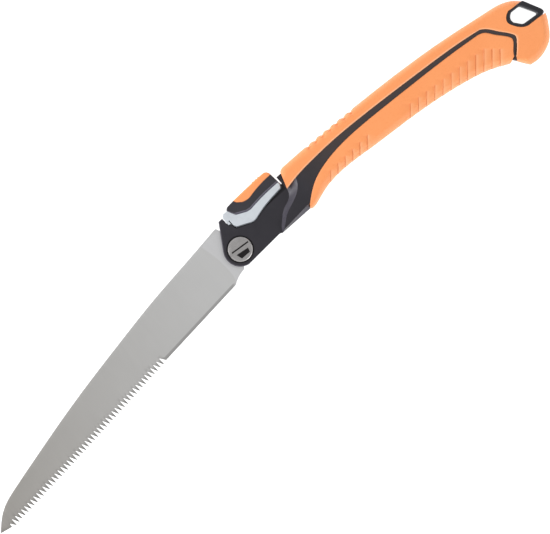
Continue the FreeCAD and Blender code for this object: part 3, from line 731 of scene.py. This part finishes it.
# The end of the space for the folded blade, where it runs into the butt.
BUTT_SLOT = [(222.0, -50.0), (222.0, -17.6), (239.2, -20.4), (244.0, -21.7), (248.0, -23.4),
             (251.0, -25.6), (252.5, -27.5), (252.5, -50.0)]
SLOT_HALF = 1.1
SCREWS = [(58.0, 14.5), (135.0, 7.5), (213.0, -5.0)]
WELL_RADIUS = 3.2
PAST_GRIP = 20


def make_grips():
    rubber = grip_rubber("orange_grip")
    spine_pairs = matched(SPINE_OUTER, SPINE_INNER, SPINE_TIES)
    spine_pairs = thinned(spine_pairs, 0.7, spine_pairs[:, 0, 0], SERRATIONS,
                          np.arange(-2.8, 3.0, 0.35))
    belly_pairs = matched(BELLY_OUTER, BELLY_INNER, BELLY_TIES)
    belly_pairs = thinned(belly_pairs, 0.7, belly_pairs[:, 0] @ GROOVE_ACROSS,
                          GROOVE_LINES[:, 0], (-1.0, -0.4, 0.0, 0.15, 0.3, 0.5))
    for label, side in (("left", 1), ("right", -1)):
        spine = grip("spine_grip_%s_skin" % label, spine_pairs, side, GRIP_FOOT, False)
        tools = [prism("eyelet_cutter", eyelet_clearance(), -PAST_GRIP, PAST_GRIP),
                 prism("slot_cutter", BUTT_SLOT, -SLOT_HALF, SLOT_HALF)]
        if side < 0:
            tools += [screw_well(place) for place in SCREWS]
        carved(spine, *tools)
        placed(spine, "handle", "spine_grip_%s" % label)
        painted(spine, rubber)
        belly = grip("belly_grip_%s_skin" % label, belly_pairs, side, BELLY_FOOT, True)
        placed(belly, "handle", "belly_grip_%s" % label)
        painted(belly, rubber)


# ---- blade --------------------------------------------------------------------------

HALF = 0.65
PLAIN_EDGE_HALF = 0.46
TANG = 11.17
BORE = 5.0
NOTCH_DEPTH = 2.0
NOTCH_SPREAD = 13.0
TOOTH_PITCH = 3.0
TOOTH_DEPTH = 4.7
FOLD = JOINTS["blade_fold"]["range_deg"][1]
TOOTH_ANGLE = 60.0

BLADE_SPINE = [(-249.3, -34.0), (-243.7, -28.4), (-237.0, -23.4), (-223.4, -18.3),
               (-203.1, -13.2), (-169.3, -5.1), (-135.4, 2.0), (-101.6, 8.1), (-67.7, 13.7),
               (-33.9, 17.9), (-5.4, 21.5)]
TOOTH_LINE = [(-237.5, -36.9), (-203.1, -33.8), (-169.3, -30.8), (-135.4, -27.4),
              (-101.6, -24.0), (-90.5, -22.9)]
HEEL = [(-18.3, -15.9), (-14.9, -13.9), (-10.2, -12.3), (-6.9, -11.75)]
GRIND_LINE = [(-19.1, 20.3), (-17.6, 14.5), (-16.1, 7.0), (-15.4, 0.0), (-15.3, -7.0),
              (-15.8, -11.5), (-17.0, -14.6)]


def notch_corners(centre):
    """Mouth, floor and mouth of a latch notch in the tang, about an angle in degrees."""
    start = centre + NOTCH_SPREAD
    end = centre - NOTCH_SPREAD
    return np.concatenate([arc((0, 0), TANG, start, start, 1),
                           arc((0, 0), TANG - NOTCH_DEPTH, start - 1, end + 1, 8),
                           arc((0, 0), TANG, end, end, 1)])


def tooth_frames():
    """Tip, direction along the tooth line and inward direction of each tooth."""
    line = spline(TOOTH_LINE, 4000)
    length = np.linalg.norm(np.diff(line, axis=0), axis=1).sum()
    count = int(length / TOOTH_PITCH)
    spots = (np.arange(count + 1) * (len(line) - 1) / count).astype(int)
    ahead = np.minimum(spots + 5, len(line) - 1)
    along = line[ahead] - line[ahead - 5]
    along /= np.linalg.norm(along, axis=1)[:, None]
    inward = np.stack([-along[:, 1], along[:, 0]], 1)
    return line[spots], along, inward


class Plate:
    """Points of a flat plate with their own left and right heights, and edges to keep."""

    def __init__(self):
        self.spots = []
        self.heights = []
        self.marks = []
        self.edges = []

    def add(self, spot, left, right=None, ricasso=0.0, edge=0.0, hardened=0.0):
        self.spots.append((float(spot[0]), float(spot[1])))
        self.heights.append((left, -left if right is None else right))
        self.marks.append((ricasso, edge, hardened))
        return len(self.spots) - 1

    def chain(self, numbers, closed=False):
        self.edges += list(zip(numbers[:-1], numbers[1:]))
        if closed:
            self.edges.append((numbers[-1], numbers[0]))


def hollow(spot, spine, floor):
    """Half thickness of the ground blade: thinner between the teeth and the spine."""
    top = np.interp(spot[0], spine[:, 0], spine[:, 1])
    low = np.interp(spot[0], floor[:, 0], floor[:, 1])
    share = np.clip((spot[1] - low) / max(top - low, 1.0), 0, 1)
    full = smooth((spot[0] + 245) / 30) * smooth((-16 - spot[0]) / 40)
    return HALF - 0.03 - 0.16 * math.sin(math.pi * share) * full


def make_blade():
    plate = Plate()
    spine = spline(BLADE_SPINE, 160)
    tips, along, inward = tooth_frames()
    gullets = tips + inward * TOOTH_DEPTH + along * 0.55
    floor = np.concatenate([[(-240.6, -35.9)], gullets, [(-87.5, -20.1), (-18.9, -14.0)]])
    floor = floor[np.argsort(floor[:, 0])]

    outline = [plate.add(spot, HALF - 0.13) for spot in spine]
    shoulder = [(-4.2, 21.62), (-3.4, 21.55), (-3.05, 21.3)]
    outline += [plate.add(spot, HALF - 0.1, ricasso=1) for spot in shoulder]
    tang = np.concatenate([arc((0, 0), TANG, 84, 76, 4), notch_corners(TOOTH_ANGLE),
                           arc((0, 0), TANG, 44, -90, 40),
                           notch_corners(TOOTH_ANGLE - FOLD)])
    outline += [plate.add(spot, HALF, ricasso=1) for spot in tang]
    heel = spline(HEEL[::-1], 14)
    outline += [plate.add(spot, HALF - 0.1, ricasso=1) for spot in heel]
    plain = np.linspace((-20.5, -16.05), (-87.5, -22.0), 40)
    outline += [plate.add(spot, PLAIN_EDGE_HALF, edge=0.55) for spot in plain]
    for k in reversed(range(len(tips))):
        left_side = k % 2 == 0
        tip_heights = (-0.3, -0.55) if left_side else (0.55, 0.3)
        gullet_spot = gullets[k]
        outline.append(plate.add(gullet_spot + along[k] * 0.3, 0.5, edge=0.3))
        outline.append(plate.add(gullet_spot, 0.5, edge=0.3))
        outline.append(plate.add(tips[k] + along[k] * 0.22, *tip_heights, edge=1, hardened=1))
        outline.append(plate.add(tips[k] - along[k] * 0.22, *tip_heights, edge=1, hardened=1))
    outline.append(plate.add((-240.3, -33.2), 0.5, edge=0.5))
    outline.append(plate.add((-240.6, -35.9), 0.3, edge=0.7))
    toe = np.linspace((-240.6, -35.9), (-249.3, -34.0), 6)[1:-1]
    outline += [plate.add(spot, 0.3, edge=0.5) for spot in toe]
    plate.chain(outline, closed=True)

    bore = [plate.add(spot, HALF, ricasso=1) for spot in circle((0, 0), BORE)]
    plate.chain(bore, closed=True)
    for radius in (7.0, 8.9):
        for spot in arc((0, 0), radius, 0, 345, 24):
            plate.add(spot, HALF, ricasso=1)

    # The flat inside each tooth: its far flank carries the ground bevel.
    for k in range(len(tips)):
        left_side = k % 2 == 0
        before = gullets[k - 1] + along[k - 1] * 0.3 if k else np.array((-240.3, -33.2))
        core_tip = tips[k] + inward[k] * 1.5
        core_front = gullets[k] - along[k] * 0.55 + inward[k] * 0.1
        core_back = before + along[k] * 0.75 + inward[k] * 0.1
        heights = (0.56, -0.62) if left_side else (0.62, -0.56)
        plate.chain([plate.add(core_back, *heights), plate.add(core_tip, *heights, hardened=0.7),
                     plate.add(core_front, *heights)])

    strip = np.linspace((-19.5, -14.1), (-86.8, -20.0), 40)
    plate.chain([plate.add(spot, HALF - 0.06, edge=0.45) for spot in strip])
    plate.chain([plate.add(spot, HALF - 0.05) for spot in strip + (0, 0.35)])
    back = spline([(x, y - 0.6) for x, y in BLADE_SPINE[2:]], 150)
    plate.chain([plate.add(spot, hollow(spot, spine, floor)) for spot in back[:-8]])
    grind = spline(GRIND_LINE, 30)
    plate.chain([plate.add(spot, hollow(spot, spine, floor)) for spot in grind - (0.5, 0)])
    plate.chain([plate.add(spot, HALF, ricasso=1) for spot in grind + (0.5, 0)])

    border = np.array([plate.spots[k] for k in outline])
    hole = np.array([plate.spots[k] for k in bore])
    taken = np.array(plate.spots)
    for x in np.arange(-246, 12, 2.5):
        for y in np.arange(-34, 22, 2.5):
            spot = np.array((x, y + (0.6 if int(x / 2.5) % 2 else 0)))
            clear = np.min(np.sum((taken - spot) ** 2, axis=1)) > 1.0
            if x < -17 and spot[1] < np.interp(spot[0], floor[:, 0], floor[:, 1]) + 1.2:
                clear = False
            if clear and inside(spot[None], border)[0] and not inside(spot[None], hole)[0]:
                line_x = np.interp(spot[1], grind[::-1, 1], grind[::-1, 0])
                if spot[0] > line_x:
                    plate.add(spot, HALF, ricasso=1)
                else:
                    plate.add(spot, hollow(spot, spine, floor))
    return plate_object("blade_plate", plate, hole)


def plate_object(name, plate, hole):
    """Triangulate the plate, raise both faces and close the rim."""
    spots, _, faces, sources, _, _ = delaunay_2d_cdt(
        [Vector(spot) for spot in plate.spots], plate.edges, [], 1, 1e-6)
    flat = np.array([tuple(spot) for spot in spots])
    heights = np.zeros((len(flat), 2))
    marks = np.zeros((len(flat), 3))
    given = np.array(plate.spots)
    for k, source in enumerate(sources):
        origin = source[0] if source else int(np.argmin(np.sum((given - flat[k]) ** 2, axis=1)))
        heights[k] = plate.heights[origin]
        marks[k] = plate.marks[origin]
    middles = np.array([flat[list(face)].mean(axis=0) for face in faces])
    keep = ~inside(middles, hole)
    kept = [face for face, wanted in zip(faces, keep) if wanted]
    count = len(flat)
    points = np.concatenate([np.column_stack([flat, heights[:, 0]]),
                             np.column_stack([flat, heights[:, 1]])])
    rim = {}
    for a, b, c in kept:
        for pair in ((a, b), (b, c), (c, a)):
            rim[pair] = rim.get(pair, 0) + 1
    shell = [tuple(face) for face in kept] + [tuple(k + count for k in face[::-1])
                                              for face in kept]
    for a, b in rim:
        if (b, a) not in rim:
            shell.append((b, a, a + count, b + count))
    mesh = bpy.data.meshes.new(name)
    mesh.from_pydata(to_frame(points).tolist(), [], shell)
    piece = linked(name, mesh)
    for column, mark in enumerate(("ricasso", "edge", "hardened")):
        marked(piece, mark, np.tile(marks[:, column], 2))
    shape = bmesh.new()
    shape.from_mesh(mesh)
    loose = [spot for spot in shape.verts if not spot.link_faces]
    bmesh.ops.delete(shape, geom=loose, context="VERTS")
    bmesh.ops.recalc_face_normals(shape, faces=shape.faces)
    shape.to_mesh(mesh)
    shape.free()
    shade(mesh, 12.0)
    return piece


# ---- other pieces -------------------------------------------------------------------

EYELET_TOP = [(242.4, -1.8), (247.0, -2.4), (251.5, -2.6), (253.6, -2.9)]
EYELET_LEFT = [(245.6, -18.2), (243.0, -16.9), (237.8, -10.6), (236.8, -7.6), (238.2, -4.4),
               (242.4, -1.8)]
EYELET_OUTER = [EYELET_TOP, [(253.6, -2.9), (254.3, -3.3), (254.7, -4.0)],
                [(254.7, -4.0), (260.2, -15.7)],
                [(260.2, -15.7), (260.1, -18.2), (258.0, -19.2)],
                [(258.0, -19.2), (245.6, -18.2)], EYELET_LEFT]
EYELET_HOLE = [[(243.4, -3.9), (249.1, -4.3)], [(249.1, -4.3), (250.3, -4.7), (251.0, -5.6)],
               [(251.0, -5.6), (255.7, -14.5)],
               [(255.7, -14.5), (255.9, -15.7), (255.1, -16.4)],
               [(255.1, -16.4), (245.1, -15.3)],
               [(245.1, -15.3), (243.9, -14.9), (243.1, -14.2)],
               [(243.1, -14.2), (239.9, -10.1)],
               [(239.9, -10.1), (239.7, -8.0), (240.9, -5.6), (243.4, -3.9)]]
EYELET_CENTRE = np.array((247.6, -10.2))
EYELET_HALF = 11.1


def at_angles(outline_points, centre, count):
    """Where rays at even angles from a centre meet a closed outline around it."""
    offset = outline_points - centre
    angle = np.unwrap(np.arctan2(offset[:, 1], offset[:, 0]))
    if angle[-1] < angle[0]:
        angle = angle[::-1]
        offset = offset[::-1]
    reach = np.linalg.norm(offset, axis=1)
    rays = np.linspace(0, 2 * math.pi, count, endpoint=False)
    turned = angle[0] + np.mod(rays - angle[0], 2 * math.pi)
    length = np.interp(turned, angle, reach)
    return centre + length[:, None] * np.stack([np.cos(rays), np.sin(rays)], 1)


def make_eyelet():
    """The ring that lines the hanging hole, with both its rims rounded."""
    count = 300
    outer = at_angles(chain(EYELET_OUTER, 3000), EYELET_CENTRE, count)
    hole = at_angles(chain(EYELET_HOLE, 3000), EYELET_CENTRE, count)
    points = []
    quarter = np.radians(np.linspace(0, 90, 6))
    for far, near in zip(outer, hole):
        width = np.linalg.norm(near - far)
        small = min(0.7, 0.3 * width)
        large = min(1.1, 0.4 * width)
        up = [(small * (1 - math.cos(a)), EYELET_HALF - small * (1 - math.sin(a)))
              for a in quarter]
        down = [(width - large * (1 - math.cos(a)), EYELET_HALF - large * (1 - math.sin(a)))
                for a in quarter[::-1]]
        loop = up + down
        loop += [(distance, -height) for distance, height in reversed(loop)]
        for distance, height in loop:
            spot = far + (near - far) / width * distance
            points.append((spot[0], spot[1], height))
    size = len(points) // count
    faces = []
    for k in range(count):
        for m in range(size):
            after = (m + 1) % size
            ahead = (k + 1) % count
            faces.append((k * size + m, k * size + after, ahead * size + after,
                          ahead * size + m))
    eyelet = make_object("eyelet_ring", points, faces, 45.0)
    placed(eyelet, "handle", "hanging_eyelet")
    painted(eyelet, nylon_look("eyelet_nylon", (0.016, 0.0155, 0.019), 0.42).material)


def make_shells():
    nylon = shell_nylon("black_nylon")
    for label in ("left", "right"):
        painted(frame["nodes"]["%s_shell" % label], nylon)


def mark_bevels(piece):
    """Mark the bevels that face the belly side, above and below alike."""
    normals = np.zeros(len(piece.data.vertices) * 3)
    piece.data.vertices.foreach_get("normal", normals)
    normals = normals.reshape(-1, 3)
    tilt = np.abs(normals[:, 2])
    value = smooth((tilt - 0.35) / 0.2) * smooth((0.95 - tilt) / 0.1)
    marked(piece, "bevel", value * smooth((-0.1 - normals[:, 1]) / 0.25))


def make_latch():
    lever = softened_copy("latch_lever", "latch_lever_cast", 0.22)
    mark_bevels(lever)
    placed(lever, "latch", "latch_lever")
    painted(lever, cast_silver("cast_silver"))
    cap = softened_copy("latch_cover", "latch_cap", 0.22)
    mark_bevels(cap)
    placed(cap, "latch", "latch_cover")
    painted(cap, cap_nylon("latch_black"))
    pad = softened_copy("latch_pad", "thumb_pad", 0.2, 1)
    placed(pad, "latch", "latch_pad")
    painted(pad, grip_rubber("orange_pad"))


def make_spring():
    """The coil again, as a piece of its own on the handle."""
    coil = linked("latch_coil", frame["nodes"]["latch_spring"].data.copy())
    sealed(coil, 35.0)
    placed(coil, "handle", "latch_spring")
    painted(coil, plain_metal("spring_wire", (0.38, 0.38, 0.39), 0.3))
    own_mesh(coil)


BOLT_RADIUS = 8.6
BOLT_TOP = 7.9
BOLT_FLOOR = 5.0
BOLT_CROWN = 0.8
BOLT_CHAMFER = 0.7
BOLT_CHAMFER_SLOPE = 0.87
SLOT_TURN = -6.0
BOLT_SLOT = [(-10.0, -0.7), (10.0, -0.7), (10.0, 1.3), (-10.0, 1.3)]
BOLT_GROOVE = [(-6.2, 0.65), (7.4, 0.65), (7.4, 1.65), (-6.2, 1.65)]
BOLT_POCKET = [(-4.5, -1.2), (4.7, -2.6), (3.8, -5.6), (-3.3, -5.4)]


def cutter(outline_points, floor, turn=0.0):
    turn = math.radians(turn)
    spin = np.array([[math.cos(turn), math.sin(turn)], [-math.sin(turn), math.cos(turn)]])
    return prism("bolt_cutter", np.array(outline_points) @ spin, floor, BOLT_TOP + 3)


def make_bolt():
    """Domed slotted head on a plain shank, with a pocket beside the slot."""
    dome = [(BOLT_RADIUS * math.sin(a), BOLT_TOP - BOLT_CROWN * (1 - math.cos(a)))
            for a in np.linspace(0, math.asin(1 - BOLT_CHAMFER / BOLT_RADIUS), 20)]
    rim = [(BOLT_RADIUS, dome[-1][1] - BOLT_CHAMFER_SLOPE * BOLT_CHAMFER),
           (BOLT_RADIUS, BOLT_FLOOR + 0.3), (BOLT_RADIUS - 0.3, BOLT_FLOOR)]
    shank = [(4.0, BOLT_FLOOR), (4.0, -BOLT_FLOOR), (3.0, -BOLT_FLOOR), (3.0, -7.7),
             (2.5, -8.2), (0.0, -8.2)]
    bolt = lathe("pivot_bolt_turned", dome + rim + shank, 240)
    carved(bolt, cutter(BOLT_SLOT, 7.0, SLOT_TURN), cutter(BOLT_POCKET, 5.9),
           cutter(BOLT_GROOVE, 6.1, SLOT_TURN))
    shade(bolt.data, 20.0)
    placed(bolt, "handle", "pivot_bolt")
    # Painted shade at the head's rim, and in the pocket and all else below 6.3 mm.
    steel = turned_steel("bolt_steel", (0.50, 0.485, 0.48), 0.24, PIVOT, BOLT_RADIUS * MM,
                         PIVOT.z + 6.3 * MM)
    painted(bolt, steel)


def make_fasteners():
    make_bolt()
    nut = frame["nodes"]["pivot_nut"]
    # Painted shade at the nut's rim.
    painted(nut, turned_steel("nut_steel", (0.46, 0.455, 0.45), 0.3, PIVOT, 7.9 * MM, -1.0))
    plain = {
        "lock_washer": plain_metal("washer_zinc", (0.55, 0.55, 0.56), 0.38),
        "pivot_bush": plain_metal("bush_steel", (0.42, 0.41, 0.40), 0.35),
        "latch_pin": plain_metal("pin_steel", (0.48, 0.48, 0.48), 0.3),
        "blade_stop_pin": plain_metal("stop_steel", (0.45, 0.45, 0.45), 0.32),
        "shell_screws": plain_metal("black_oxide", (0.09, 0.088, 0.092), 0.4),
        "screw_inserts": plain_metal("insert_brass", (0.72, 0.50, 0.20), 0.35),
    }
    for node, material in plain.items():
        painted(frame["nodes"][node], material)
    acetal = nylon_look("washer_acetal", (0.28, 0.28, 0.26), 0.45).material
    for node in ("blade_washer_left", "blade_washer_right"):
        painted(frame["nodes"][node], acetal)


# ---- studio -------------------------------------------------------------------------

BELLY_SIDE_LIGHT = 1.1
SPINE_SIDE_LIGHT = 0.8
TOP_LIGHT = 0.6
FLOOR_GLOW = 1.0
CAMERA_ROLL = -42.1
VIEW_WIDTH = 0.3724
VIEW_OFFSET = (0.00941, -0.0246)
CAMERA_HEIGHT = 6.0
SENSOR = 36.0


def make_floor():
    half = 3.0
    mesh = bpy.data.meshes.new("floor")
    corners = [(-half, -half, 0), (half, -half, 0), (half, half, 0), (-half, half, 0)]
    mesh.from_pydata(corners, [], [(0, 1, 2, 3)])
    floor = linked("floor", mesh)
    floor.location.z = cad_box[0][2] - 0.0002
    look = Look("floor_white", (0.42, 0.42, 0.42), 0.9)
    look.tint(look.noise(3, 2), (0.43, 0.43, 0.43))
    look.shader.inputs["Emission Color"].default_value = (1, 1, 1, 1)
    look.shader.inputs["Emission Strength"].default_value = FLOOR_GLOW
    floor.data.materials.append(look.material)


def make_world():
    """A light tent: dim overhead and behind the spine, bright on the belly side."""
    world = bpy.data.worlds.new("studio")
    world.use_nodes = True
    tree = world.node_tree
    background = tree.nodes["Background"]
    place = tree.nodes.new("ShaderNodeTexCoord")
    split = tree.nodes.new("ShaderNodeSeparateXYZ")
    tree.links.new(place.outputs["Generated"], split.inputs["Vector"])
    spans = {"Y": (0.7, -0.8, SPINE_SIDE_LIGHT, BELLY_SIDE_LIGHT), "Z": (0.97, 0.35, 0, 1)}
    results = {}
    for axis, numbers in spans.items():
        ramp = tree.nodes.new("ShaderNodeMapRange")
        for key, number in zip(("From Min", "From Max", "To Min", "To Max"), numbers):
            ramp.inputs[key].default_value = number
        tree.links.new(split.outputs[axis], ramp.inputs["Value"])
        results[axis] = ramp.outputs["Result"]
    mix = tree.nodes.new("ShaderNodeMix")
    mix.inputs[2].default_value = TOP_LIGHT
    tree.links.new(results["Z"], mix.inputs[0])
    tree.links.new(results["Y"], mix.inputs[3])
    tree.links.new(mix.outputs[0], background.inputs["Strength"])
    background.inputs["Color"].default_value = (1, 1, 1, 1)
    bpy.context.scene.world = world


def add_area(name, place, width, power):
    """A square soft light aimed at the middle of the saw."""
    light = bpy.data.lights.new(name, "AREA")
    light.shape = "SQUARE"
    light.size = width
    light.energy = power
    lamp = linked(name, light)
    lamp.location = place
    lamp.rotation_euler = (-Vector(place)).to_track_quat("-Z", "Y").to_euler()


def make_studio():
    make_floor()
    make_world()
    add_area("key_light", (-1.2, 1.05, 1.15), 1.0, 24)
    add_area("belly_light", (0.3, -1.7, 0.75), 1.2, 7)


def make_camera():
    data = bpy.data.cameras.new("camera")
    data.sensor_fit = "HORIZONTAL"
    data.sensor_width = SENSOR
    data.lens = SENSOR * CAMERA_HEIGHT / VIEW_WIDTH
    camera = linked("camera", data)
    camera.location = (PIVOT.x + VIEW_OFFSET[0], PIVOT.y + VIEW_OFFSET[1],
                       PIVOT.z + CAMERA_HEIGHT)
    camera.rotation_euler = (0, 0, math.radians(CAMERA_ROLL))
    bpy.context.scene.camera = camera
    bpy.context.scene.view_settings.view_transform = "Standard"


make_camera()
make_grips()
blade = make_blade()
placed(blade, "blade", "blade")
painted(blade, blade_steel("blade_ground"))
make_shells()
make_eyelet()
make_latch()
make_spring()
make_fasteners()
make_studio()
